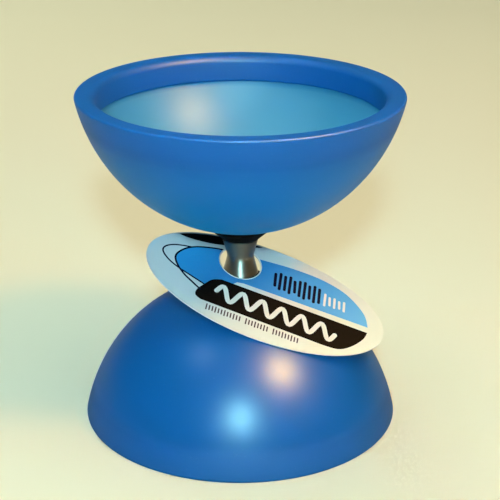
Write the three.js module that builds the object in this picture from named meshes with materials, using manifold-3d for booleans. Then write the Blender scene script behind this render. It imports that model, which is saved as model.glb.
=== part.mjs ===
// A diabolo: two translucent cups clamped mouth outwards on a steel spindle. Between them a waisted
// steel sleeve, which the string runs on, turns on two ball bearings and a one-way roller clutch.
// An oval card tag hangs round the sleeve and rests on the lower cup.
//
// Millimetres, +Z up. The origin is the centre of the lower rim, which the diabolo stands on.
// Heights in the constants are measured from the middle plane, halfway up the sleeve.

import * as THREE from "three";
import { mergeVertices } from "three/addons/utils/BufferGeometryUtils.js";
import Module from "manifold-3d";

const wasm = await Module();
wasm.setup();

// ---------------------------------------------------------------- driving dimensions

const halfHeight = 64;

// The outside of a cup is part of an ellipsoid, and the inside is one wall further in.
const bowl = { radius: 61.9, depth: 65.6, centre: 77.8, wall: 2.6 };
const rim = { innerRadius: 52.7, depth: 10.3, outerRound: 0.8, innerRound: 2.8, ledgeRound: 0.6 };
const cupBase = { seatRadius: 12.2, floorRadius: 12.8, turnIn: 1.2, outside: 13, inside: 16.2 };

const sleeve = {
  waist: 5.1, flareSlope: 0.29, waistRound: 0.9,
  halfLength: 7.1, bore: 4.03, edgeRound: 0.35,
};
const runningGap = 0.3;
const fitGap = 0.05;

const hub = { flange: 11.9, flangeEdge: 1, keyAcross: 11, bore: 2.15 };
const spindle = { radius: 2, end: 25.5, chamfer: 0.5, socketAcross: 2, socketDepth: 2 };
const clampWasher = { radius: 12.4, thickness: 1.8, chamfer: 0.6, hole: 2.2 };
const plainWasher = { radius: 4.5, thickness: 0.8, hole: 2.15 };
const lockNut = { across: 7, hexHeight: 3.6, height: 5, collar: 3.3, bore: 2.1, ringPocket: 2.75 };
const nylonRing = { outer: 2.7, bore: 2.08, thickness: 0.8, depth: 0.2 };

const bearing = {
  centre: 4.9, width: 3, bore: 2.05, innerRing: 2.6, outerRing: 3.4, outside: 3.98,
  pitch: 3, ball: 0.5, balls: 7, grooveClearance: 0.08,
  cageInner: 2.75, cageOuter: 3.25, cageWidth: 1.5,
  shieldInner: 2.7, shieldOuter: 3.36, shieldThickness: 0.18, shieldInset: 0.1,
};
const clutch = {
  outside: 3.98, halfLength: 3, lip: 0.3, lipBore: 2.3,
  rollers: 8, roller: 0.45, rollerPitch: 2.5, rollerHalfLength: 2.1,
  rampHigh: 3.4, rampLow: 2.98,
  cageInner: 2.2, cageOuter: 2.85, cageRing: 0.4, cageBar: 0.5,
};

// The tag's plane tips downhill towards one side. Its own u and v axes start at the hole's centre.
const tag = {
  tilt: 28, downhill: -54.3, turn: -13.5,
  hole: new THREE.Vector3(0, -0.7, -3.2),
  holeRadius: 8.1, halfLength: 47.3, halfWidth: 23.4, centreU: 12.5, centreV: -9.9,
  bend: -0.0029, thickness: 0.45,
};

// Facets round each kind of piece. The turned ones are multiples of 4, so their boxes are exact.
const facets = { cup: 48, hub: 24, sleeve: 32, small: 16, cage: 28, ball: 6, roller: 8, tag: 48 };

// ---------------------------------------------------------------- materials

const materialOf = (color, roughness, metalness, opacity = 1) =>
  new THREE.MeshStandardMaterial({ color, roughness, metalness, opacity, transparent: opacity < 1 });

const materials = {
  cup: materialOf(0x1465c0, 0.35, 0, 0.85),
  hub: materialOf(0x0c0d10, 0.45, 0),
  steel: materialOf(0xb9b7b2, 0.18, 1),
  zinc: materialOf(0xa9acb0, 0.35, 1),
  bearingSteel: materialOf(0xc9ccd0, 0.15, 1),
  nylon: materialOf(0xe9e7de, 0.5, 0),
  card: materialOf(0xdfe9ee, 0.6, 0),
};

// ---------------------------------------------------------------- shape helpers

// A cage pocket, socket or key is cut by manifold-3d, which wants shared vertices and no normals.
function solidOf(geometry) {
  const bare = new THREE.BufferGeometry().setAttribute("position", geometry.getAttribute("position"));
  if (geometry.index) bare.setIndex(geometry.index);
  const merged = mergeVertices(bare, 1e-4);
  const mesh = new wasm.Mesh({
    numProp: 3,
    vertProperties: new Float32Array(merged.attributes.position.array),
    triVerts: new Uint32Array(merged.index.array),
  });
  return new wasm.Manifold(mesh);
}

function geometryOf(solid) {
  const { vertProperties, triVerts } = solid.getMesh();
  const geometry = new THREE.BufferGeometry();
  geometry.setAttribute("position", new THREE.BufferAttribute(new Float32Array(vertProperties), 3));
  geometry.setIndex(new THREE.BufferAttribute(new Uint32Array(triVerts), 1));
  geometry.computeVertexNormals();
  return geometry;
}

const subtractAll = (body, tools) => tools.reduce((left, tool) => left.subtract(tool), body);
const addAll = (bodies) => bodies.reduce((sum, body) => sum.add(body));

// [radius, height] points turned about Z. The outline closes on itself, or starts and ends on the
// axis, and may run either way round.
function turned(outline, segments) {
  const onAxis = (point) => Math.abs(point[0]) < 1e-9;
  const loop = onAxis(outline[0]) ? outline : [...outline, outline[0]];
  const area = loop.reduce((sum, [r, z], i) => {
    const [nextR, nextZ] = loop[(i + 1) % loop.length];
    return sum + r * nextZ - nextR * z;
  }, 0);
  const ordered = area > 0 ? loop : [...loop].reverse();
  const points = ordered.map(([r, z]) => new THREE.Vector2(r, z));
  return new THREE.LatheGeometry(points, segments).rotateX(Math.PI / 2);
}

// A plain ring or disc between two radii and two heights.
const ring = (inner, outer, low, high, segments) =>
  turned([[inner, low], [outer, low], [outer, high], [inner, high]], segments);

const disc = (radius, low, high, segments) =>
  turned([[0, low], [radius, low], [radius, high], [0, high]], segments);

// A hexagonal bar, by its size across the flats.
const hexBar = (across, low, high) => disc(across / Math.sqrt(3), low, high, 6);

// Points of an arc in the [radius, height] plane, both ends included. Angles are in degrees.
function arc(r, z, radius, from, to, steps) {
  return Array.from({ length: steps + 1 }, (_, i) => {
    const angle = THREE.MathUtils.degToRad(from + ((to - from) * i) / steps);
    return [r + radius * Math.cos(angle), z + radius * Math.sin(angle)];
  });
}

// ---------------------------------------------------------------- cups, hubs and fasteners

// Points of the bowl's ellipse from one radius up to one height, offset inwards from the outside.
function bowlCurve(offset, fromRadius, toHeight, steps) {
  const radius = bowl.radius - offset;
  const depth = bowl.depth - offset;
  const start = Math.asin(fromRadius / radius);
  const end = Math.acos((bowl.centre - toHeight) / depth);
  return Array.from({ length: steps + 1 }, (_, i) => {
    const angle = start + ((end - start) * i) / steps;
    return [radius * Math.sin(angle), bowl.centre - depth * Math.cos(angle)];
  });
}

function cupGeometry() {
  const outside = bowlCurve(0, cupBase.seatRadius + cupBase.turnIn, halfHeight - rim.outerRound, 9);
  const inside = bowlCurve(bowl.wall, cupBase.floorRadius + cupBase.turnIn, halfHeight - rim.depth, 8);
  const rimRadius = outside.at(-1)[0];
  const outerRound = arc(rimRadius - rim.outerRound, halfHeight - rim.outerRound, rim.outerRound, 30, 90, 2);
  const innerCentre = [rim.innerRadius + rim.innerRound, halfHeight - rim.innerRound];
  const innerRound = arc(...innerCentre, rim.innerRound, 90, 180, 3);
  const ledgeRound = arc(
    rim.innerRadius + rim.ledgeRound, halfHeight - rim.depth + rim.ledgeRound, rim.ledgeRound, 180, 270, 1);
  const body = turned(
    [[0, cupBase.outside], [cupBase.seatRadius, cupBase.outside], ...outside, ...outerRound, ...innerRound,
      ...ledgeRound, ...inside.reverse(), [cupBase.floorRadius, cupBase.inside], [0, cupBase.inside]],
    facets.cup);
  const keyHole = hexBar(hub.keyAcross + 2 * fitGap, cupBase.outside - 1, cupBase.inside + 1);
  return geometryOf(solidOf(body).subtract(solidOf(keyHole)));
}

// A black nylon cone under each cup, with a hexagonal key that stops the cup turning on it.
function hubGeometry() {
  const face = sleeve.halfLength + runningGap;
  const seat = cupBase.outside - fitGap;
  const flare = seat - hub.flangeEdge;
  const cone = turned(
    [[0, face], [face, face], [hub.flange, flare], [hub.flange, seat], [0, seat]], facets.hub);
  const key = hexBar(hub.keyAcross, seat - 1, cupBase.inside - 0.3);
  const bore = disc(hub.bore, face - 1, cupBase.inside + 1, facets.small);
  return geometryOf(addAll([solidOf(cone), solidOf(key)]).subtract(solidOf(bore)));
}

const clampWasherLow = cupBase.inside + fitGap;
const plainWasherLow = clampWasherLow + clampWasher.thickness + fitGap;
const lockNutLow = plainWasherLow + plainWasher.thickness + fitGap;

function clampWasherGeometry() {
  const top = clampWasherLow + clampWasher.thickness;
  const { radius, chamfer, hole } = clampWasher;
  return turned(
    [[hole, clampWasherLow], [radius, clampWasherLow], [radius, top - chamfer],
      [radius - chamfer, top], [hole, top]],
    facets.hub);
}

const plainWasherGeometry = () =>
  ring(plainWasher.hole, plainWasher.radius, plainWasherLow, plainWasherLow + plainWasher.thickness, facets.small);

// A hexagonal nut whose round collar holds the nylon ring that grips the thread.
function lockNutGeometry() {
  const top = lockNutLow + lockNut.height;
  const hexTop = lockNutLow + lockNut.hexHeight;
  const hex = hexBar(lockNut.across, lockNutLow, hexTop);
  const collar = disc(lockNut.collar, lockNutLow, top, facets.small);
  const bore = disc(lockNut.bore, lockNutLow - 1, top + 1, facets.small);
  const pocket = disc(lockNut.ringPocket, top - nylonRing.depth - nylonRing.thickness - fitGap, top + 1, facets.small);
  return geometryOf(subtractAll(addAll([solidOf(hex), solidOf(collar)]), [solidOf(bore), solidOf(pocket)]));
}

function nylonRingGeometry() {
  const top = lockNutLow + lockNut.height - nylonRing.depth;
  return ring(nylonRing.bore, nylonRing.outer, top - nylonRing.thickness, top, facets.small);
}

// The rod that runs right through and clamps everything, with a key socket in each end.
function spindleGeometry() {
  const { radius, end, chamfer, socketAcross, socketDepth } = spindle;
  const rod = turned(
    [[0, -end], [radius - chamfer, -end], [radius, -end + chamfer], [radius, end - chamfer], [radius - chamfer, end],
      [0, end]],
    facets.small);
  const sockets = [-1, 1].map((side) => {
    const ends = [side * (end - socketDepth), side * (end + 1)];
    return solidOf(hexBar(socketAcross, Math.min(...ends), Math.max(...ends)));
  });
  return geometryOf(subtractAll(solidOf(rod), sockets));
}

// ---------------------------------------------------------------- sleeve, bearings and clutch

function sleeveGeometry() {
  const { flareSlope, waistRound } = sleeve;
  const reach = sleeve.halfLength - sleeve.edgeRound;
  const radiusAt = (z) => sleeve.waist + flareSlope * (Math.hypot(z, waistRound) - waistRound);
  const steps = 8;
  const waist = Array.from({ length: steps + 1 }, (_, i) => {
    const z = -reach + (2 * reach * i) / steps;
    return [radiusAt(z), z];
  });
  const edge = radiusAt(reach) - sleeve.edgeRound / 2;
  return turned(
    [[sleeve.bore, -sleeve.halfLength], [edge, -sleeve.halfLength], ...waist, [edge, sleeve.halfLength],
      [sleeve.bore, sleeve.halfLength]],
    facets.sleeve);
}

const spacerGeometry = () =>
  ring(bearing.bore, bearing.innerRing, bearing.centre + bearing.width / 2 + fitGap / 2,
    sleeve.halfLength + runningGap - fitGap / 2, facets.small);

// One race, with a ball groove on the side that faces the pitch circle.
function raceGeometry(backRadius, faceRadius) {
  const halfWidth = bearing.width / 2;
  const grooveRadius = bearing.ball + bearing.grooveClearance;
  const reach = Math.sqrt(grooveRadius ** 2 - (faceRadius - bearing.pitch) ** 2);
  const side = Math.sign(faceRadius - bearing.pitch);
  const spread = THREE.MathUtils.radToDeg(Math.asin(reach / grooveRadius));
  const middle = side > 0 ? 0 : 180;
  const groove = arc(bearing.pitch, bearing.centre, grooveRadius, middle - spread, middle + spread, 3);
  if (side < 0) groove.reverse();
  return turned(
    [[backRadius, bearing.centre - halfWidth], [faceRadius, bearing.centre - halfWidth], ...groove,
      [faceRadius, bearing.centre + halfWidth], [backRadius, bearing.centre + halfWidth]],
    facets.small);
}

const ballAngle = (i) => (2 * Math.PI * i) / bearing.balls;

function sphereAt(radius, pitch, angle, height) {
  return new THREE.SphereGeometry(radius, facets.ball, facets.ball - 1)
    .rotateX(Math.PI / 2)
    .translate(pitch * Math.cos(angle), pitch * Math.sin(angle), height);
}

function ballCageGeometry() {
  const half = bearing.cageWidth / 2;
  const band = ring(bearing.cageInner, bearing.cageOuter, bearing.centre - half, bearing.centre + half, facets.cage);
  const pockets = Array.from({ length: bearing.balls }, (_, i) =>
    solidOf(sphereAt(bearing.ball + 2 * fitGap, bearing.pitch, ballAngle(i), bearing.centre)));
  return geometryOf(subtractAll(solidOf(band), pockets));
}

function shieldGeometry(side) {
  const { centre, width, shieldThickness, shieldInset, shieldInner, shieldOuter } = bearing;
  const face = centre + side * (width / 2 - shieldInset);
  const ends = [face, face - side * shieldThickness];
  return ring(shieldInner, shieldOuter, Math.min(...ends), Math.max(...ends), facets.small);
}

const rollerAngle = (i) => (2 * Math.PI * i) / clutch.rollers;

// The drawn shell. Each roller has a ramp inside it, high at one end and low at the other, so that
// the roller wedges against the spindle one way round and runs free the other way.
function clutchShellGeometry() {
  const { outside, halfLength, lip, lipBore, rollers, rampHigh, rampLow } = clutch;
  const shape = new THREE.Shape();
  shape.absarc(0, 0, outside, 0, 2 * Math.PI, false);
  const rampSteps = 4;
  const teeth = Array.from({ length: rollers * rampSteps }, (_, k) => {
    const tooth = Math.floor(k / rampSteps);
    const share = (k % rampSteps) / (rampSteps - 1);
    const radius = rampHigh + (rampLow - rampHigh) * share;
    const angle = rollerAngle(tooth) + (share - 0.35) * 0.9 * rollerAngle(1);
    return new THREE.Vector2(radius * Math.cos(angle), radius * Math.sin(angle));
  });
  shape.holes.push(new THREE.Path(teeth));
  const length = 2 * (halfLength - lip);
  const tube = new THREE.ExtrudeGeometry(shape, { depth: length, bevelEnabled: false, curveSegments: facets.small / 2 })
    .translate(0, 0, -length / 2);
  const lips = [-halfLength, halfLength - lip].map((low) =>
    solidOf(ring(lipBore, outside, low, low + lip, facets.small)));
  return geometryOf(addAll([solidOf(tube), ...lips]));
}

function clutchCageGeometry() {
  const { cageInner, cageOuter, cageRing, cageBar, rollerHalfLength, rollers } = clutch;
  const inside = rollerHalfLength + fitGap;
  const rings = [-inside - cageRing, inside].map((low) =>
    solidOf(ring(cageInner, cageOuter, low, low + cageRing, facets.small)));
  const bars = Array.from({ length: rollers }, (_, i) => {
    const barLength = 2 * inside + cageRing;
    const bar = new THREE.BoxGeometry(cageOuter - cageInner - 0.1, cageBar, barLength)
      .translate((cageOuter + cageInner) / 2, 0, 0)
      .rotateZ(rollerAngle(i + 0.5));
    return solidOf(bar);
  });
  return geometryOf(addAll([...rings, ...bars]));
}

const rollerGeometry = (i) =>
  disc(clutch.roller, -clutch.rollerHalfLength, clutch.rollerHalfLength, facets.roller)
    .translate(clutch.rollerPitch * Math.cos(rollerAngle(i)), clutch.rollerPitch * Math.sin(rollerAngle(i)), 0);

// ---------------------------------------------------------------- tag

// The tag's axes: normal to the card, and u and v in it, from its downhill direction and its turn.
function tagFrame() {
  const tilt = THREE.MathUtils.degToRad(tag.tilt);
  const downhill = THREE.MathUtils.degToRad(tag.downhill);
  const normal = new THREE.Vector3(
    Math.sin(tilt) * Math.cos(downhill), Math.sin(tilt) * Math.sin(downhill), Math.cos(tilt));
  const level = new THREE.Vector3(1, 0, 0).addScaledVector(normal, -normal.x).normalize();
  const u = level.applyAxisAngle(normal, THREE.MathUtils.degToRad(tag.turn));
  const v = new THREE.Vector3().crossVectors(normal, u);
  return { normal, u, v };
}

// An oval card with a round hole, bent a little along its length, as a grid of rings from the hole
// out to the edge on each face.
function tagGeometry() {
  const { normal, u, v } = tagFrame();
  const rings = 4;
  const around = facets.tag;
  const positions = [];
  for (const face of [0.5, -0.5]) {
    for (let i = 0; i <= rings; i++) {
      for (let k = 0; k < around; k++) {
        const angle = (2 * Math.PI * k) / around;
        const share = i / rings;
        const along = (1 - share) * tag.holeRadius * Math.cos(angle)
          + share * (tag.centreU + tag.halfLength * Math.cos(angle));
        const across = (1 - share) * tag.holeRadius * Math.sin(angle)
          + share * (tag.centreV + tag.halfWidth * Math.sin(angle));
        const lift = (tag.bend * across ** 2) / 2 + face * tag.thickness;
        const point = tag.hole.clone()
          .addScaledVector(u, along).addScaledVector(v, across).addScaledVector(normal, lift);
        positions.push(point.x, point.y, point.z);
      }
    }
  }
  const index = [];
  const at = (face, i, k) => (face * (rings + 1) + i) * around + (k % around);
  const quad = (a, b, c, d) => index.push(a, b, c, a, c, d);
  for (let k = 0; k < around; k++) {
    for (let i = 0; i < rings; i++) {
      quad(at(0, i, k), at(0, i + 1, k), at(0, i + 1, k + 1), at(0, i, k + 1));
      quad(at(1, i, k + 1), at(1, i + 1, k + 1), at(1, i + 1, k), at(1, i, k));
    }
    quad(at(0, 0, k + 1), at(1, 0, k + 1), at(1, 0, k), at(0, 0, k));
    quad(at(0, rings, k), at(1, rings, k), at(1, rings, k + 1), at(0, rings, k + 1));
  }
  const geometry = new THREE.BufferGeometry();
  geometry.setAttribute("position", new THREE.Float32BufferAttribute(positions, 3));
  geometry.setIndex(index);
  geometry.computeVertexNormals();
  return geometry;
}

// ---------------------------------------------------------------- assembly

const diabolo = new THREE.Group();
diabolo.position.z = halfHeight;

function place(parent, name, geometry, material) {
  const mesh = new THREE.Mesh(geometry, material);
  mesh.name = name;
  parent.add(mesh);
}

// Each half is made mouth up, and the lower one is turned over about X.
for (const half of ["upper", "lower"]) {
  const side = new THREE.Group();
  if (half === "lower") side.rotation.x = Math.PI;
  diabolo.add(side);

  place(side, `${half}_cup`, cupGeometry(), materials.cup);
  place(side, `${half}_hub`, hubGeometry(), materials.hub);
  place(side, `${half}_clamp_washer`, clampWasherGeometry(), materials.zinc);
  place(side, `${half}_plain_washer`, plainWasherGeometry(), materials.zinc);
  place(side, `${half}_lock_nut`, lockNutGeometry(), materials.zinc);
  place(side, `${half}_nut_nylon_ring`, nylonRingGeometry(), materials.nylon);
  place(side, `${half}_bearing_spacer`, spacerGeometry(), materials.bearingSteel);

  place(side, `${half}_bearing_inner_race`, raceGeometry(bearing.bore, bearing.innerRing), materials.bearingSteel);
  place(side, `${half}_bearing_outer_race`, raceGeometry(bearing.outside, bearing.outerRing), materials.bearingSteel);
  place(side, `${half}_bearing_cage`, ballCageGeometry(), materials.nylon);
  place(side, `${half}_bearing_inner_shield`, shieldGeometry(-1), materials.bearingSteel);
  place(side, `${half}_bearing_outer_shield`, shieldGeometry(1), materials.bearingSteel);
  for (let i = 0; i < bearing.balls; i++) {
    const ball = sphereAt(bearing.ball, bearing.pitch, ballAngle(i), bearing.centre);
    place(side, `${half}_bearing_ball_${i + 1}`, ball, materials.bearingSteel);
  }
}

place(diabolo, "spindle", spindleGeometry(), materials.zinc);
place(diabolo, "axle_sleeve", sleeveGeometry(), materials.steel);
place(diabolo, "clutch_shell", clutchShellGeometry(), materials.bearingSteel);
place(diabolo, "clutch_cage", clutchCageGeometry(), materials.nylon);
for (let i = 0; i < clutch.rollers; i++) {
  place(diabolo, `clutch_roller_${i + 1}`, rollerGeometry(i), materials.bearingSteel);
}
place(diabolo, "card_tag", tagGeometry(), materials.card);

export default diabolo;
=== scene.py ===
# The looks of a diabolo: translucent cups on a steel axle, with a printed card tag hung on it.
# Metres, +Z up, with the origin at the centre of the lower rim.

import math

import bmesh
import bpy
from mathutils import Euler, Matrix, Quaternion, Vector
from mathutils.geometry import delaunay_2d_cdt


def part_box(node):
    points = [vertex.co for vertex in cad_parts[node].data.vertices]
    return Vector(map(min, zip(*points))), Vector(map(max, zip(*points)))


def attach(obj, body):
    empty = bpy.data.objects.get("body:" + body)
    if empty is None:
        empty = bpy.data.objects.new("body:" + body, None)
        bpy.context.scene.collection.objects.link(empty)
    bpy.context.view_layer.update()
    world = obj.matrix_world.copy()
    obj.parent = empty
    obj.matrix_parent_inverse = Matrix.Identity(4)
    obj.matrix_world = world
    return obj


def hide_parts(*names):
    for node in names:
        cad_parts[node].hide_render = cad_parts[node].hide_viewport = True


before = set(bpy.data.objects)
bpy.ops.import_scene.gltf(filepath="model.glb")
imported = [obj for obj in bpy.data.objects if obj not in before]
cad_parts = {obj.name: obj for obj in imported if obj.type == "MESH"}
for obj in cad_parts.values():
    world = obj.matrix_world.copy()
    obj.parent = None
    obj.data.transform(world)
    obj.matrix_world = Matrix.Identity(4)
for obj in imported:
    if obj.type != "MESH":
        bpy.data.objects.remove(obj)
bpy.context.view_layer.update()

MM = 0.001

# ---------------------------------------------------------------- sizes

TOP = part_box("upper_cup")[1].z
MIDDLE = TOP / 2
SIDES = {"upper": 1, "lower": -1}

# Lengths are in millimetres, and heights are from the middle plane.
# Pieces that are clamped together are this far apart.
FIT = 0.05

# Each cup is a shell between two ellipsoids, with a thick rim.
BOWL_RADIUS = 61.9
BOWL_DEPTH = 65.6
BOWL_CENTRE = 77.8
WALL = 2.6
HALF_HEIGHT = TOP / 2 / MM
RIM_INNER = 52.7
RIM_DEPTH = 10.3
RIM_OUTER_ROUND = 0.8
RIM_OUTER_DROP = 1.22 * RIM_OUTER_ROUND
RIM_INNER_ROUND = 2.8
LEDGE_Z = HALF_HEIGHT - RIM_DEPTH
LEDGE_ROUND = 0.8
SEAT_RADIUS = 12.2
SEAT_Z = 13.0
FLOOR_RADIUS = 12.8
FLOOR_Z = 16.2
TURN_IN = 1.2
CUP_BORE = 6.5

AROUND = 192

# ---------------------------------------------------------------- small helpers


def linear(code):
    """An sRGB colour such as "4488cc" as the linear values that shaders use, with full alpha."""
    parts = [int(code[i:i + 2], 16) / 255 for i in (0, 2, 4)]
    return (*[p / 12.92 if p <= 0.04045 else ((p + 0.055) / 1.055) ** 2.4 for p in parts], 1.0)


def arc(r, z, radius, start, end, steps):
    """(radius, height) points of an arc, ends included, with angles in degrees."""
    angles = [math.radians(start + (end - start) * i / steps) for i in range(steps + 1)]
    return [(r + radius * math.cos(a), z + radius * math.sin(a)) for a in angles]


def new_object(name, mesh, materials):
    piece = bpy.data.objects.new(name, mesh)
    bpy.context.scene.collection.objects.link(piece)
    for material in materials:
        mesh.materials.append(material)
    return piece


def circle(radius, height, around=AROUND):
    angles = [2 * math.pi * k / around for k in range(around)]
    return [(radius * math.cos(a), radius * math.sin(a), height) for a in angles]


def hexagon(across, height, around, limit=math.inf):
    """A hexagon with flats on +X and -X, cut to a circle of radius limit."""
    points = []
    for k in range(around):
        a = 2 * math.pi * k / around
        off_flat = (a + math.pi / 6) % (math.pi / 3) - math.pi / 6
        radius = min(across / 2 / math.cos(off_flat), limit)
        points.append((radius * math.cos(a), radius * math.sin(a), height))
    return points


def ring_grid(name, rings, materials, flip=False, closed=True, creases=35, second_from=None):
    """A surface over rings of points, in millimetres, with heights from the middle plane.

    The last ring joins the first if it is closed, and else a face shuts each end. flip turns it
    upside down. Edges sharper than creases, in degrees, aren't smoothed. From ring second_from on,
    its faces take the second material."""
    mesh = bpy.data.meshes.new(name)
    build = bmesh.new()
    sign = -1 if flip else 1
    rows = [
        [build.verts.new((x * MM, y * MM, MIDDLE + sign * z * MM)) for x, y, z in ring] for ring in rings]
    pairs = list(zip(rows, rows[1:]))
    if closed:
        pairs.append((rows[-1], rows[0]))
    else:
        build.faces.new(rows[0])
        build.faces.new(rows[-1])
    for i, (low, high) in enumerate(pairs):
        for k in range(len(low)):
            n = (k + 1) % len(low)
            face = build.faces.new((low[k], low[n], high[n], high[k]))
            face.material_index = int(second_from is not None and i >= second_from)
    bmesh.ops.recalc_face_normals(build, faces=build.faces)
    limit = math.radians(creases)
    for face in build.faces:
        face.smooth = True
    for edge in build.edges:
        edge.smooth = edge.calc_face_angle(0) < limit
    build.to_mesh(mesh)
    build.free()
    return new_object(name, mesh, materials)


def turned(name, outline, materials, around=AROUND, **options):
    """A body of revolution about Z from a closed outline of (radius, height) points."""
    return ring_grid(name, [circle(r, z, around) for r, z in outline], materials, **options)


def stands_for(piece, body, slot, *nodes):
    """Puts a piece in the place of its CAD nodes, on their body. Its slot argument is not used."""
    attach(piece, body)
    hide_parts(*nodes)


# ---------------------------------------------------------------- material helpers


class Material:
    """A node material with a Principled shader and a few short ways to add nodes."""

    def __init__(self, name, color, roughness, metallic=0.0):
        self.material = bpy.data.materials.new(name)
        self.material.use_nodes = True
        self.tree = self.material.node_tree
        self.shader = self.tree.nodes["Principled BSDF"]
        self.output = self.tree.nodes["Material Output"]
        self.shader.inputs["Base Color"].default_value = color
        self.shader.inputs["Roughness"].default_value = roughness
        self.shader.inputs["Metallic"].default_value = metallic
        self.coords = self.add("ShaderNodeTexCoord").outputs["Object"]

    def add(self, kind, **values):
        node = self.tree.nodes.new(kind)
        for key, value in values.items():
            setattr(node, key, value)
        return node

    def link(self, source, target):
        self.tree.links.new(source, target)

    def set(self, socket, value):
        if isinstance(value, (int, float, tuple)):
            socket.default_value = value
        else:
            self.link(value, socket)

    def math(self, operation, *values):
        node = self.add("ShaderNodeMath", operation=operation)
        for socket, value in zip(node.inputs, values):
            self.set(socket, value)
        return node.outputs[0]

    def noise(self, scale, detail, stretch=None):
        node = self.add("ShaderNodeTexNoise")
        node.inputs["Scale"].default_value = scale
        node.inputs["Detail"].default_value = detail
        source = self.coords
        if stretch:
            mapping = self.add("ShaderNodeMapping")
            mapping.inputs["Scale"].default_value = stretch
            self.link(source, mapping.inputs["Vector"])
            source = mapping.outputs["Vector"]
        self.link(source, node.inputs["Vector"])
        return node.outputs["Fac"]

    def spread(self, value, low, high, start=0.0, end=1.0):
        """The range from start to end stretched over the range from low to high."""
        node = self.add("ShaderNodeMapRange")
        node.inputs["From Min"].default_value = start
        node.inputs["From Max"].default_value = end
        node.inputs["To Min"].default_value = low
        node.inputs["To Max"].default_value = high
        self.link(value, node.inputs["Value"])
        return node.outputs["Result"]

    def ramp(self, value, *stops):
        """Colours at positions from 0 to 1."""
        node = self.add("ShaderNodeValToRGB")
        elements = node.color_ramp.elements
        while len(elements) < len(stops):
            elements.new(0.5)
        for element, (position, color) in zip(elements, stops):
            element.position = position
            element.color = color
        self.link(value, node.inputs["Fac"])
        return node.outputs["Color"]

    def mix(self, factor, first, second):
        """A blend of two colours. Several of the node's sockets share a name, so they go by number."""
        node = self.add("ShaderNodeMix", data_type="RGBA")
        self.set(node.inputs[0], factor)
        self.set(node.inputs[6], first)
        self.set(node.inputs[7], second)
        return node.outputs[2]

    def bump(self, height, distance, strength):
        node = self.add("ShaderNodeBump")
        node.inputs["Distance"].default_value = distance
        node.inputs["Strength"].default_value = strength
        self.link(height, node.inputs["Height"])
        self.link(node.outputs["Normal"], self.shader.inputs["Normal"])
        return node.outputs["Normal"]

    def axes(self):
        node = self.add("ShaderNodeSeparateXYZ")
        self.link(self.coords, node.inputs[0])
        return node.outputs


def cup_plastic(name, body_color, glow_color, glow_share, roughness, band_color, band_glow):
    """Tinted translucent plastic: deep blue where the rim is thick, and more translucent on the thin wall
    below it. A pale body colour paints in the light that comes through the thin wall.
    """
    fade_in, fade_out = LEDGE_Z - 2.5, LEDGE_Z + 1.5
    band_glow_share, band_roughness = 0.45, 0.12
    m = Material(name, linear(body_color), roughness)
    from_middle = m.math("ABSOLUTE", m.math("SUBTRACT", m.axes()["Z"], MIDDLE))
    band = m.spread(from_middle, 0, 1, fade_in * MM, fade_out * MM)
    cloud = m.spread(m.noise(35, 2), 0, 0.1)
    thin = m.mix(cloud, linear(body_color), linear(glow_color))
    color = m.mix(band, thin, linear(band_color))
    dust = m.spread(m.noise(1500, 3), 0, 0.28, 0.64, 0.74)
    m.link(m.mix(dust, color, linear("5cb0e8")), m.shader.inputs["Base Color"])
    m.shader.inputs["IOR"].default_value = 1.52
    m.shader.inputs["Specular Tint"].default_value = linear("e8f8ff")
    worn = m.spread(m.noise(900, 4), roughness - 0.03, roughness + 0.05, 0.3, 0.75)
    m.link(m.math("ADD", worn, m.math("MULTIPLY", band, band_roughness)), m.shader.inputs["Roughness"])
    normal = m.bump(m.noise(1400, 2), 0.00003, 0.4)
    glow = m.add("ShaderNodeBsdfTranslucent")
    m.link(m.mix(band, linear(glow_color), linear(band_glow)), glow.inputs["Color"])
    m.link(normal, glow.inputs["Normal"])
    blend = m.add("ShaderNodeMixShader")
    m.link(m.spread(band, glow_share, band_glow_share), blend.inputs[0])
    m.link(m.shader.outputs[0], blend.inputs[1])
    m.link(glow.outputs[0], blend.inputs[2])
    m.link(blend.outputs[0], m.output.inputs["Surface"])
    return m.material


def moulded(name, color, roughness, gloss=0.5):
    """Moulded nylon with a fine grain."""
    m = Material(name, color, roughness)
    m.shader.inputs["Specular IOR Level"].default_value = gloss
    patches = m.noise(500, 3)
    m.link(m.spread(patches, roughness - 0.06, roughness + 0.08), m.shader.inputs["Roughness"])
    m.bump(m.noise(2500, 3), 0.00002, 0.6)
    return m.material


def turned_steel(name, color, roughness, line_scale, depth, stretch=0.0):
    """Steel with fine rings from the lathe and light scuffs.

    stretch draws its highlights out along the axle."""
    m = Material(name, color, roughness, metallic=1.0)
    rings = m.noise(line_scale, 2, (0.02, 0.02, 1))
    scuffs = m.noise(700, 5)
    m.link(m.spread(scuffs, roughness - 0.03, roughness + 0.07, 0.35, 0.75),
           m.shader.inputs["Roughness"])
    m.shader.inputs["Anisotropic"].default_value = stretch
    m.shader.inputs["Anisotropic Rotation"].default_value = 0.25
    tangent = m.add("ShaderNodeTangent", direction_type="RADIAL", axis="Z")
    m.link(tangent.outputs[0], m.shader.inputs["Tangent"])
    m.bump(rings, depth, 0.6)
    return m.material


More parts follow.
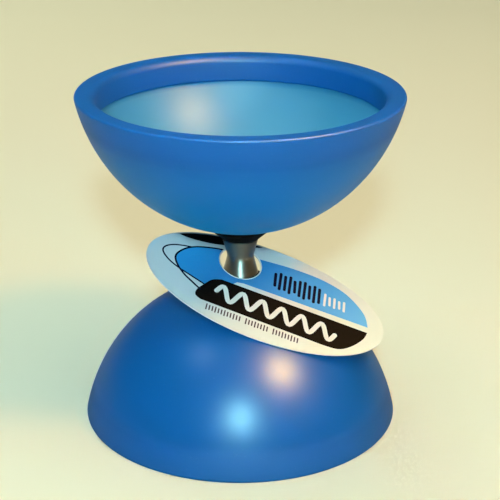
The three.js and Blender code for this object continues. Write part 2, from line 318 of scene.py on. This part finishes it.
def print_paper(name, *codes, roughness=0.42, fibre=0.04, gloss=0.35):
    """Coated card. Its colour goes through the codes from the tag's back left to its front right."""
    back_left, front_right, toward_front = -32 * MM, 62 * MM, 0.8
    m = Material(name, linear(codes[0]), roughness)
    m.shader.inputs["Specular IOR Level"].default_value = gloss
    axes = m.axes()
    along = m.math("SUBTRACT", axes["X"], m.math("MULTIPLY", axes["Y"], toward_front))
    share = m.spread(along, 0, 1, back_left, front_right)
    grain = m.noise(2600, 3)
    last = len(codes) - 1
    color = m.ramp(share, *[(i / last, linear(code)) for i, code in enumerate(codes)])
    m.link(m.mix(m.spread(grain, 0, fibre), color, linear("ffffff")), m.shader.inputs["Base Color"])
    m.link(m.spread(grain, roughness - 0.06, roughness + 0.08), m.shader.inputs["Roughness"])
    m.bump(grain, 0.000008, 0.5)
    return m.material


CUP_OUTSIDE = cup_plastic("cup_outside", "0278c8", "34aeec", 0.55, 0.35, "0276c8", "10a0e0")
# The inside's pale cyan body colour is painted light, standing in for light that comes through the thin
# wall; its rim band stays deep blue.
CUP_INSIDE_PAINTED_LIGHT = cup_plastic("cup_inside_painted_light", "6ecae4", "a4e8f8", 0.64, 0.43, "049ccc", "08b4e0")
BLACK_NYLON = moulded("hub_nylon", linear("020203"), 0.6, gloss=0.08)
WHITE_NYLON = moulded("white_nylon", linear("e6e3d8"), 0.5)
SLEEVE_STEEL = turned_steel("polished_steel", linear("7a7670"), 0.31, 5200, 0.000002, stretch=0.6)
ZINC = turned_steel("zinc_steel", linear("84878c"), 0.4, 3000, 0.00001)
BEARING_STEEL = turned_steel("bearing_steel", linear("cdd0d3"), 0.16, 4000, 0.000002)

# ---------------------------------------------------------------- cups


def bowl_curve(offset, from_radius, to_height, steps):
    """The ellipse that lies offset inside the outside of the bowl, from its foot up to a height."""
    radius = BOWL_RADIUS - offset
    depth = BOWL_DEPTH - offset
    start = math.asin(from_radius / radius)
    end = math.acos((BOWL_CENTRE - to_height) / depth)
    angles = [start + (end - start) * i / steps for i in range(steps + 1)]
    return [(radius * math.sin(a), BOWL_CENTRE - depth * math.cos(a)) for a in angles]


def cup_outline():
    """The cup's section, up the outside, over the rim and down the inside, and where its inside starts."""
    outer_end = HALF_HEIGHT - RIM_OUTER_DROP
    outside = bowl_curve(0, SEAT_RADIUS + TURN_IN, outer_end, 60)
    (r, z), (before_r, before_z) = outside[-1], outside[-2]
    lean = math.degrees(math.atan2(before_r - r, z - before_z))
    centre_r = r - RIM_OUTER_ROUND * math.cos(math.radians(lean))
    outer_round = arc(centre_r, HALF_HEIGHT - RIM_OUTER_ROUND, RIM_OUTER_ROUND, lean, 90, 10)[1:]
    inner_round = arc(
        RIM_INNER + RIM_INNER_ROUND, HALF_HEIGHT - RIM_INNER_ROUND, RIM_INNER_ROUND, 90, 180, 12)
    ledge_round = arc(RIM_INNER + LEDGE_ROUND, LEDGE_Z + LEDGE_ROUND, LEDGE_ROUND, 180, 270, 5)
    bowl = bowl_curve(WALL, FLOOR_RADIUS + TURN_IN, LEDGE_Z, 56)
    outer = [
        (CUP_BORE, SEAT_Z), (SEAT_RADIUS, SEAT_Z), *outside, *outer_round, *inner_round, *ledge_round]
    return [*outer, *reversed(bowl), (FLOOR_RADIUS, FLOOR_Z), (CUP_BORE, FLOOR_Z)], len(outer)


def make_cups():
    outline, inside_start = cup_outline()
    for half, sign in SIDES.items():
        cup = turned(
            f"{half}_cup_shell", outline, [CUP_OUTSIDE, CUP_INSIDE_PAINTED_LIGHT],
            flip=sign < 0, second_from=inside_start)
        stands_for(cup, "spool", "cup_plastic", f"{half}_cup")


# ---------------------------------------------------------------- hubs and sleeve

SLEEVE_WAIST = 5.1
SLEEVE_SLOPE = 0.29
SLEEVE_ROUND = 0.9
SLEEVE_HALF = 7.1
SLEEVE_BORE = 4.03
SLEEVE_EDGE = 0.3
SLEEVE_CHAMFER = 0.2

HUB_FACE = 7.4
HUB_FLANGE = 11.9
HUB_FLANGE_THICKNESS = 1.2
HUB_KEY = 11.0
HUB_KEY_Z = FLOOR_Z - 0.3
HUB_BORE = 2.15


def make_hubs():
    """A cone that flares from the sleeve to the cup, with a hexagonal key on it."""
    around = 96
    seat = SEAT_Z - FIT
    tip, edge, corner = 0.3, 0.4, 0.2
    outline = [
        (HUB_BORE, HUB_FACE), *arc(HUB_FACE - tip, HUB_FACE + tip, tip, -90, -45, 4),
        *arc(HUB_FLANGE - edge, seat - HUB_FLANGE_THICKNESS, edge, -45, 0, 4),
        *arc(HUB_FLANGE - corner, seat - corner, corner, 0, 90, 3)]
    rings = [circle(r, z, around) for r, z in outline]
    rings += [hexagon(HUB_KEY, z, around) for z in (seat, HUB_KEY_Z - corner)]
    rings += [hexagon(HUB_KEY - 2 * corner, HUB_KEY_Z, around), circle(HUB_BORE, HUB_KEY_Z, around)]
    for half, sign in SIDES.items():
        hub = ring_grid(f"{half}_hub_cone", rings, [BLACK_NYLON], flip=sign < 0)
        stands_for(hub, "spool", "hub_nylon", f"{half}_hub")


def make_sleeve():
    """A tube with a shallow waist, the track that the string runs on."""
    reach = SLEEVE_HALF - SLEEVE_EDGE
    steps = 48
    heights = [-reach + 2 * reach * i / steps for i in range(steps + 1)]
    curve = [
        (SLEEVE_WAIST + SLEEVE_SLOPE * (math.hypot(z, SLEEVE_ROUND) - SLEEVE_ROUND), z) for z in heights]
    face = curve[-1][0] - SLEEVE_EDGE
    outline = [
        (SLEEVE_BORE + SLEEVE_CHAMFER, -SLEEVE_HALF), (face, -SLEEVE_HALF), *curve, (face, SLEEVE_HALF),
        (SLEEVE_BORE + SLEEVE_CHAMFER, SLEEVE_HALF), (SLEEVE_BORE, SLEEVE_HALF - SLEEVE_CHAMFER),
        (SLEEVE_BORE, -SLEEVE_HALF + SLEEVE_CHAMFER)]
    sleeve = turned("turned_sleeve", outline, [SLEEVE_STEEL], around=128, creases=25)
    stands_for(sleeve, "sleeve", "polished_steel", "axle_sleeve")


# ---------------------------------------------------------------- spindle and fasteners

CLAMP_LOW = FLOOR_Z + FIT
CLAMP_HIGH = CLAMP_LOW + 1.8
CLAMP_RADIUS = 12.4
WASHER_BORE = 2.2
GROOVE_OUTER = 5.6
GROOVE_INNER = 4.7
GROOVE_DEPTH = 0.15
PLAIN_LOW = CLAMP_HIGH + FIT
PLAIN_HIGH = PLAIN_LOW + 0.8
PLAIN_RADIUS = 4.5
PLAIN_BORE = 2.15
NUT_LOW = PLAIN_HIGH + FIT
NUT_HEX_HIGH = NUT_LOW + 3.6
NUT_HIGH = NUT_LOW + 5.0
NUT_ACROSS = 7.0
NUT_COLLAR = 3.3
NUT_POCKET = 2.75
NUT_BORE = 2.1
NYLON_RADIUS = 2.7
NYLON_BORE = 2.08
NYLON_HIGH = NUT_HIGH - 0.2
NYLON_LOW = NYLON_HIGH - 0.8

SPINDLE_RADIUS = 2.0
SPINDLE_END = 25.5
SPINDLE_SOCKET = 2.0
SOCKET_MOUTH = 2.3
SOCKET_CHAMFER = 0.2
SOCKET_DEPTH = 2.0
THREAD_PITCH = 0.7
THREAD_DEPTH = 0.38
THREAD_START = 16.5


def make_washers(half, flip):
    """A wide clamp washer with a shallow groove, and a plain washer with one rounded edge."""
    corner, edge = 0.2, 0.6
    groove_low, outer_slope, inner_slope = CLAMP_HIGH - GROOVE_DEPTH, 0.3, 0.2
    outline = [
        (WASHER_BORE, CLAMP_LOW), (CLAMP_RADIUS - corner, CLAMP_LOW), (CLAMP_RADIUS, CLAMP_LOW + corner),
        *arc(CLAMP_RADIUS - edge, CLAMP_HIGH - edge, edge, 0, 90, 6),
        (GROOVE_OUTER, CLAMP_HIGH), (GROOVE_OUTER - outer_slope, groove_low),
        (GROOVE_INNER + inner_slope, groove_low), (GROOVE_INNER, CLAMP_HIGH), (WASHER_BORE, CLAMP_HIGH)]
    clamp = turned(f"{half}_clamp_disc", outline, [ZINC], flip=flip)
    stands_for(clamp, "spool", "zinc_steel", f"{half}_clamp_washer")

    burr = 0.15
    outline = [
        (PLAIN_BORE, PLAIN_LOW), (PLAIN_RADIUS - burr, PLAIN_LOW), (PLAIN_RADIUS, PLAIN_LOW + burr),
        *arc(PLAIN_RADIUS - burr, PLAIN_HIGH - burr, burr, 0, 90, 4),
        (PLAIN_BORE + burr, PLAIN_HIGH), (PLAIN_BORE, PLAIN_HIGH - burr)]
    plain = turned(f"{half}_flat_washer", outline, [ZINC], around=96, flip=flip)
    stands_for(plain, "spool", "zinc_steel", f"{half}_plain_washer")


def make_nut(half, flip):
    """A hexagonal nut with chamfered corners and a rounded collar, and the nylon ring in the collar."""
    around = 96
    # Each end of the hexagon is cut to a circle a little inside its flats.
    face_radius = NUT_ACROSS / 2 * 0.98
    low_chamfer, high_chamfer, step, bend = 0.3, 0.35, 0.08, 0.45
    collar = arc(NUT_COLLAR - bend, NUT_HIGH - bend, bend, 0, 90, 6)
    rings = [
        circle(NUT_BORE, NUT_LOW, around), hexagon(NUT_ACROSS, NUT_LOW, around, face_radius),
        hexagon(NUT_ACROSS, NUT_LOW + low_chamfer, around),
        hexagon(NUT_ACROSS, NUT_HEX_HIGH - high_chamfer, around),
        hexagon(NUT_ACROSS, NUT_HEX_HIGH, around, face_radius),
        circle(NUT_COLLAR, NUT_HEX_HIGH + step, around),
        *[circle(r, z, around) for r, z in collar], circle(NUT_POCKET, NUT_HIGH, around),
        circle(NUT_POCKET, NYLON_LOW - FIT, around), circle(NUT_BORE, NYLON_LOW - FIT, around)]
    nut = ring_grid(f"{half}_hex_lock_nut", rings, [ZINC], flip=flip, creases=22)
    stands_for(nut, "spool", "zinc_steel", f"{half}_lock_nut")

    lip = 0.15
    outline = [
        (NYLON_BORE, NYLON_LOW), (NYLON_RADIUS, NYLON_LOW),
        *arc(NYLON_RADIUS - lip, NYLON_HIGH - lip, lip, 0, 90, 4),
        *arc(NYLON_BORE + lip, NYLON_HIGH - lip, lip, 90, 180, 4)]
    ring = turned(f"{half}_locking_ring", outline, [WHITE_NYLON], around=64, flip=flip)
    stands_for(ring, "spool", "white_nylon", f"{half}_nut_nylon_ring")


def make_spindle():
    """A plain rod with a rolled thread and a hexagonal key socket at each end."""
    around = 48
    taper = 0.5

    def thread(z):
        """A ring at height z. The groove climbs one pitch a turn, and deepens over its first pitch."""
        points = []
        for k in range(around):
            turn = k / around
            phase = abs((z / THREAD_PITCH - turn) % 1 - 0.5) * 2
            full = min(1.0, (z - THREAD_START) / THREAD_PITCH)
            end_taper = min(0.0, (SPINDLE_END - taper) - z)
            radius = SPINDLE_RADIUS - THREAD_DEPTH * full * phase + end_taper
            a = 2 * math.pi * turn
            points.append((radius * math.cos(a), radius * math.sin(a), z))
        return points

    rows_per_pitch = 8
    count = round((SPINDLE_END - THREAD_START) / THREAD_PITCH * rows_per_pitch)
    upper = [thread(THREAD_START + (SPINDLE_END - THREAD_START) * i / count) for i in range(count + 1)]
    upper += [
        hexagon(SOCKET_MOUTH, SPINDLE_END, around),
        hexagon(SPINDLE_SOCKET, SPINDLE_END - SOCKET_CHAMFER, around),
        hexagon(SPINDLE_SOCKET, SPINDLE_END - SOCKET_DEPTH, around)]
    # The lower end is the upper one turned half way about X, with each ring back in its order.
    lower = [[(x, -y, -z) for x, y, z in ring] for ring in reversed(upper)]
    lower = [[ring[-k % around] for k in range(around)] for ring in lower]
    spindle = ring_grid("threaded_spindle", lower + upper, [ZINC], closed=False, creases=40)
    stands_for(spindle, "spool", "zinc_steel", "spindle")


def finish_inner_parts():
    """The bearings and the clutch keep their CAD shapes and get their finishes."""
    for name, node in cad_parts.items():
        if "bearing" in name or "clutch" in name:
            for slot in node.material_slots:
                slot.material = WHITE_NYLON if name.endswith("cage") else BEARING_STEEL


# ---------------------------------------------------------------- tag

TAG_TILT = 28
TAG_DOWNHILL = -54.3
TAG_TURN = -13.5
TAG_HOLE = Vector((0, -0.7, -3.2))
HOLE_RADIUS = 8.1
OVAL_CENTRE = (12.5, -9.9)
OVAL_SIZE = (47.3, 23.4)
# The card is bent about its long axis. This is its curvature, in 1 / millimetres.
TAG_BEND = -0.0029
TAG_THICKNESS = 0.45

HOLE_BORDER = 0.45
LENS_ENDS = (-26.6, 6.6)
LENS_BORDER = 0.7


def tag_axes():
    """The tag's normal, and the directions of its own two coordinates."""
    tilt, downhill = math.radians(TAG_TILT), math.radians(TAG_DOWNHILL)
    normal = Vector((
        math.sin(tilt) * math.cos(downhill), math.sin(tilt) * math.sin(downhill), math.cos(tilt)))
    level = (Vector((1, 0, 0)) - normal * normal.x).normalized()
    side = normal.cross(level)
    turn = math.radians(TAG_TURN)
    u = level * math.cos(turn) + side * math.sin(turn)
    return normal, u, normal.cross(u)


def oval(centre, size, steps):
    angles = [math.radians(360 * i / steps) for i in range(steps)]
    return [(centre[0] + size[0] * math.cos(a), centre[1] + size[1] * math.sin(a)) for a in angles]


def stroke(points, width):
    """The outline of a line of that width with round ends."""
    left, right = [], []
    for i, (x, y) in enumerate(points):
        before = points[max(i - 1, 0)]
        after = points[min(i + 1, len(points) - 1)]
        dx, dy = after[0] - before[0], after[1] - before[1]
        length = math.hypot(dx, dy)
        nx, ny = -dy / length * width / 2, dx / length * width / 2
        left.append((x + nx, y + ny))
        right.append((x - nx, y - ny))

    def cap(centre, start):
        first = math.atan2(start[1] - centre[1], start[0] - centre[0])
        angles = [first - math.pi * i / 6 for i in range(1, 6)]
        return [(centre[0] + width / 2 * math.cos(a), centre[1] + width / 2 * math.sin(a)) for a in angles]

    return [*left, *cap(points[-1], left[-1]), *reversed(right), *cap(points[0], right[0])]


def between(p, q, r, s, t):
    """The Catmull-Rom value at t on the way from q to r, with p before them and s after."""
    square = 2 * p - 5 * q + 4 * r - s
    cube = 3 * q - p - 3 * r + s
    return 0.5 * (2 * q + (r - p) * t + square * t ** 2 + cube * t ** 3)


def smooth_path(points, steps):
    """A Catmull-Rom curve through the points."""
    ends = [points[0], *points, points[-1]]
    path = []
    for near in zip(ends, ends[1:], ends[2:], ends[3:]):
        for i in range(steps):
            path.append(tuple(between(*values, i / steps) for values in zip(*near)))
    return [*path, points[-1]]


def inside(point, outline):
    """Whether the point is within the closed outline."""
    x, y = point
    hit = False
    for (x1, y1), (x2, y2) in zip(outline, outline[1:] + outline[:1]):
        if (y1 > y) != (y2 > y) and x < x1 + (y - y1) / (y2 - y1) * (x2 - x1):
            hit = not hit
    return hit


# Points that the printed shapes go through, in the tag's own millimetres from the hole's centre.
LOOP_OUTER = [
    (-19.7, -1.4), (-25.1, -3.1), (-28.6, -5.6), (-29.1, -8.5), (-26.1, -11.6), (-21.4, -13.9),
    (-15.8, -15.6), (-10.4, -17.2)]
LOOP_INNER = [
    (-6.0, 3.6), (-10.7, 2.6), (-17.5, -0.2), (-21.6, -3.5), (-23.9, -8.1), (-22.6, -12.0),
    (-18.8, -15.8), (-15.0, -18.1), (-11.0, -20.3)]
PANEL_EDGE = [
    (53.4, -8.6), (50.6, -2.4), (42.4, 4.2), (32.0, 7.1), (20.0, 7.2), (7.0, 5.6), *LOOP_INNER[:6],
    (-21.2, -14.0), (-15.8, -15.6), (-9.0, -17.4)]
STRIP_TIP = [(-2.0, -13.4), (0.0, -12.0), (1.2, -10.5), (3.6, -9.9)]
BAR_LEFT = [(-9.6, -24.8), (-11.9, -23.6), (-12.1, -21.0), (-10.2, -17.2), (-7.9, -13.7), (-4.6, -12.0)]
BAR_RIGHT = [(53.7, -11.3), (52.6, -15.4), (48.9, -20.8), (44.4, -24.1), (38.0, -24.8)]
LENS_UNDER = [(6.4, 12.3), (-8.3, 5.9), (-15.6, 3.7), (-22.5, 2.8), (-26.2, 3.2)]


def equaliser(left, middle, heights, spacing, width, lean):
    """A row of leaning bars of different heights about one middle line."""
    bars = []
    for i, height in enumerate(heights):
        x = left + spacing * i
        bars.append(stroke([(x - lean * t, middle + height * t) for t in (-0.5, 0, 0.5)], width))
    return bars


def wave(left, right, middle, height, waves, steps=108):
    points = []
    for i in range(steps + 1):
        x = left + (right - left) * i / steps
        points.append((x, middle + height / 2 * math.sin(2 * math.pi * waves * i / steps)))
    return points


def tag_print():
    """(material name, outline) pairs, the later ones printed on top."""
    panel = [*smooth_path(PANEL_EDGE, 6), *STRIP_TIP]
    bar = [*smooth_path(BAR_LEFT, 5), *smooth_path(BAR_RIGHT, 6)]
    first, last = LENS_ENDS
    lens_top = [p for p in oval(OVAL_CENTRE, OVAL_SIZE, 240) if p[1] > 0 and first < p[0] < last]
    lens_top = [(x, y - LENS_BORDER) for x, y in sorted(lens_top)]
    lens = [*lens_top, *smooth_path(LENS_UNDER, 6)[1:-1]]
    regions = [("tag_panel", panel), ("tag_black", bar), ("tag_black", lens)]
    for loop, width in ((LOOP_OUTER, 0.65), (LOOP_INNER, 0.75)):
        regions.append(("tag_line", stroke(smooth_path(loop, 5), width)))
    border = HOLE_RADIUS + HOLE_BORDER
    regions.append(("tag_white", oval((0, 0), (border, border), 72)))

    wave_line = wave(left=-5.0, right=42.0, middle=-18.2, height=6.4, waves=6)
    regions.append(("tag_white", stroke(wave_line, 1.85)))

    dark_heights = (6.2, 8.2, 7.0, 8.4, 5.6, 7.6, 8.4, 6.4, 8.2, 7.0)
    light_heights = (5.8, 3.8, 4.6, 3.4, 4.4)
    dark_bars = equaliser(14.6, -2.0, dark_heights, spacing=1.98, width=1.15, lean=0.9)
    light_bars = equaliser(34.9, -2.8, light_heights, spacing=1.95, width=0.95, lean=0.6)
    regions += [("tag_line", outline) for outline in dark_bars]
    regions += [("tag_white", outline) for outline in light_bars]

    left, spacing, gap = -6.6, 1.1845, 1.3
    short, tall = 1.9, 2.4
    for ticks in (12, 8, 9):
        heights = [short if i % 3 else tall for i in range(ticks)]
        marks = equaliser(left, -27.1, heights, spacing, width=0.52, lean=0.15)
        regions += [("tag_small", outline) for outline in marks]
        left += ticks * spacing + gap
    return regions


def triangulate(outlines):
    """Flat points, and triangles that follow the outlines. A grid between them lets the card bend."""
    points, edges = [], []
    for outline in outlines:
        first = len(points)
        points.extend(Vector(p) for p in outline)
        edges.extend((first + i, first + (i + 1) % len(outline)) for i in range(len(outline)))
    spacing, border = 2.5, 1
    columns, rows = [
        range(math.ceil((middle - reach) / spacing), math.ceil((middle + reach) / spacing))
        for middle, reach in zip(OVAL_CENTRE, OVAL_SIZE)]
    for column in columns:
        for row in rows:
            x, y = column * spacing, row * spacing
            along = (x - OVAL_CENTRE[0]) / (OVAL_SIZE[0] - border)
            across = (y - OVAL_CENTRE[1]) / (OVAL_SIZE[1] - border)
            if math.hypot(along, across) < 1 and math.hypot(x, y) > HOLE_RADIUS + border:
                points.append(Vector((x, y)))
    all_triangles, tolerance = 0, 1e-4
    flat, _, triangles, _, _, _ = delaunay_2d_cdt(points, edges, [], all_triangles, tolerance)
    return flat, triangles


def anticlockwise(triangle, flat):
    corners = [flat[i] for i in triangle]
    area = sum(a[0] * b[1] - b[0] * a[1] for a, b in zip(corners, (*corners[1:], corners[0])))
    return list(triangle) if area > 0 else list(reversed(triangle))


TAG_MATERIALS = [
    print_paper("tag_ground", "ced6d0", "ced6d0", "e2e0cc", "eceacc"),
    print_paper("tag_panel", "04a0e0", "047cc0", "209cd8", "60c0ec"),
    print_paper("tag_black", "030303", "0e0603", roughness=0.6, fibre=0.003, gloss=0.03),
    print_paper("tag_line", "040c20", "04102c", roughness=0.6, fibre=0.004, gloss=0.03),
    print_paper("tag_white", "e4e8e0", "efe8d6"),
    print_paper("tag_small", "3c3a38", "50382c", gloss=0.1),
    print_paper("tag_back", "e9ecea", "efece2", roughness=0.6),
    print_paper("tag_edge", "e4eef4", "f6f6f2", roughness=0.7),
]


def make_tag():
    """A bent oval card with a hole, printed on top, as one closed mesh."""
    normal, u_axis, v_axis = tag_axes()
    edge = oval(OVAL_CENTRE, OVAL_SIZE, 160)
    hole = oval((0, 0), (HOLE_RADIUS, HOLE_RADIUS), 72)
    regions = tag_print()
    flat, triangles = triangulate([edge, hole, *[outline for _, outline in regions]])
    number = {material.name: i for i, material in enumerate(TAG_MATERIALS)}
    mesh = bpy.data.meshes.new("printed_tag")
    build = bmesh.new()

    def place(p, side):
        lift = TAG_BEND * p[1] ** 2 / 2 + side * TAG_THICKNESS / 2
        spot = TAG_HOLE + u_axis * p[0] + v_axis * p[1] + normal * lift
        return spot * MM + Vector((0, 0, MIDDLE))

    top = [build.verts.new(place(p, 1)) for p in flat]
    bottom = [build.verts.new(place(p, -1)) for p in flat]
    open_edges = {}
    for triangle in triangles:
        centre = tuple(sum(flat[i][k] for i in triangle) / 3 for k in (0, 1))
        if not inside(centre, edge) or inside(centre, hole):
            continue
        name = "tag_ground"
        for region, outline in regions:
            if inside(centre, outline):
                name = region
        order = anticlockwise(triangle, flat)
        face = build.faces.new([top[i] for i in order])
        face.material_index = number[name]
        back = build.faces.new([bottom[i] for i in reversed(order)])
        back.material_index = number["tag_back"]
        # An edge that no second triangle shares is on the card's outline or on its hole.
        for a, b in zip(order, (*order[1:], order[0])):
            if (b, a) in open_edges:
                del open_edges[(b, a)]
            else:
                open_edges[(a, b)] = True
    for a, b in open_edges:
        wall = build.faces.new([top[b], top[a], bottom[a], bottom[b]])
        wall.material_index = number["tag_edge"]
    for vert in [v for v in build.verts if not v.link_faces]:
        build.verts.remove(vert)
    for face in build.faces:
        face.smooth = face.material_index != number["tag_edge"]
    for line in build.edges:
        kinds = {f.material_index == number["tag_edge"] for f in line.link_faces}
        line.smooth = len(kinds) == 1
    build.to_mesh(mesh)
    build.free()
    stands_for(new_object("printed_tag", mesh, TAG_MATERIALS), "tag", "printed_card", "card_tag")


# ---------------------------------------------------------------- stage


def make_stage():
    """A pale floor under a dim, even sky."""
    mesh = bpy.data.meshes.new("floor")
    build = bmesh.new()
    bmesh.ops.create_circle(build, cap_ends=True, radius=9, segments=96)
    build.to_mesh(mesh)
    build.free()
    m = Material("floor", linear("ebe9cc"), 0.6)
    m.shader.inputs["Specular IOR Level"].default_value = 0.0
    m.link(m.mix(m.noise(3, 2), linear("edebcd"), linear("e8e6c6")), m.shader.inputs["Base Color"])
    new_object("floor", mesh, [m.material])

    world = bpy.data.worlds.new("studio")
    bpy.context.scene.world = world
    world.use_nodes = True
    background = world.node_tree.nodes["Background"]
    background.inputs["Color"].default_value = linear("f4fcec")
    background.inputs["Strength"].default_value = 0.07


def add_light(name, azimuth, elevation, distance, size, power, color, spread=180, soft=True, glint=True):
    """A round lamp that faces the object, in metres, degrees and watts.

    Azimuth 0 is the camera's side, and 90 is +X. A lamp with soft off shows only in reflections, and
    one with glint off never does."""
    a, e = math.radians(azimuth), math.radians(elevation)
    back = Vector((math.sin(a) * math.cos(e), -math.cos(a) * math.cos(e), math.sin(e)))
    light = bpy.data.lights.new(name, "AREA")
    light.shape = "DISK"
    light.size = size
    light.energy = power
    light.color = color
    light.spread = math.radians(spread)
    lamp = bpy.data.objects.new(name, light)
    lamp.location = Vector((0, 0, MIDDLE)) + back * distance
    lamp.rotation_mode = "QUATERNION"
    lamp.rotation_quaternion = (-back).to_track_quat("-Z", "Y")
    lamp.visible_diffuse = soft
    lamp.visible_transmission = soft
    lamp.visible_glossy = glint
    bpy.context.scene.collection.objects.link(lamp)


def make_camera():
    """In front and 22 degrees up, with the object's centre a little off the frame's."""
    distance, elevation = 0.5368, math.radians(21.94)
    roll, pitch, yaw = math.radians(0.19), math.radians(0.187), math.radians(-0.418)
    data = bpy.data.cameras.new("camera")
    data.sensor_width = 36.0
    data.lens = 101.6
    camera = bpy.data.objects.new("camera", data)
    back = Vector((0, -math.cos(elevation), math.sin(elevation)))
    camera.location = Vector((0, 0, MIDDLE)) + back * distance
    level = Euler((math.pi / 2 - elevation + pitch, 0, yaw)).to_quaternion()
    camera.rotation_mode = "QUATERNION"
    camera.rotation_quaternion = level @ Quaternion((0, 0, 1), roll)
    bpy.context.scene.collection.objects.link(camera)
    bpy.context.scene.camera = camera


bpy.context.scene.view_settings.view_transform = "Standard"
make_camera()
make_stage()
add_light("ceiling", 0, 89, 2.6, 2.6, 38.5, (0.88, 1.0, 0.97), glint=False)
add_light("amber_lamp", 55, 54, 1.6, 0.3, 11, (1.0, 0.5, 0.12), glint=False)
add_light("cool_flash", 0, 30, 0.75, 0.06, 1.15, (0.5, 0.78, 0.95), spread=90, glint=False)
add_light("window", -142, 32, 1.2, 0.6, 2.6, (0.95, 1.0, 0.85), glint=False)
add_light("amber_glint", 54, 51, 0.45, 0.15, 21, (0.52, 0.28, 0.07), soft=False)
add_light("cool_glint", 0, 28.5, 0.6, 0.13, 9.5, (0.44, 0.92, 0.98), soft=False)
add_light("lilac_glint", -74, 65, 0.7, 0.14, 3.0, (0.4, 0.58, 0.85), soft=False)

make_cups()
make_hubs()
make_sleeve()
make_spindle()
for side_name, side_sign in SIDES.items():
    make_washers(side_name, side_sign < 0)
    make_nut(side_name, side_sign < 0)
finish_inner_parts()
make_tag()
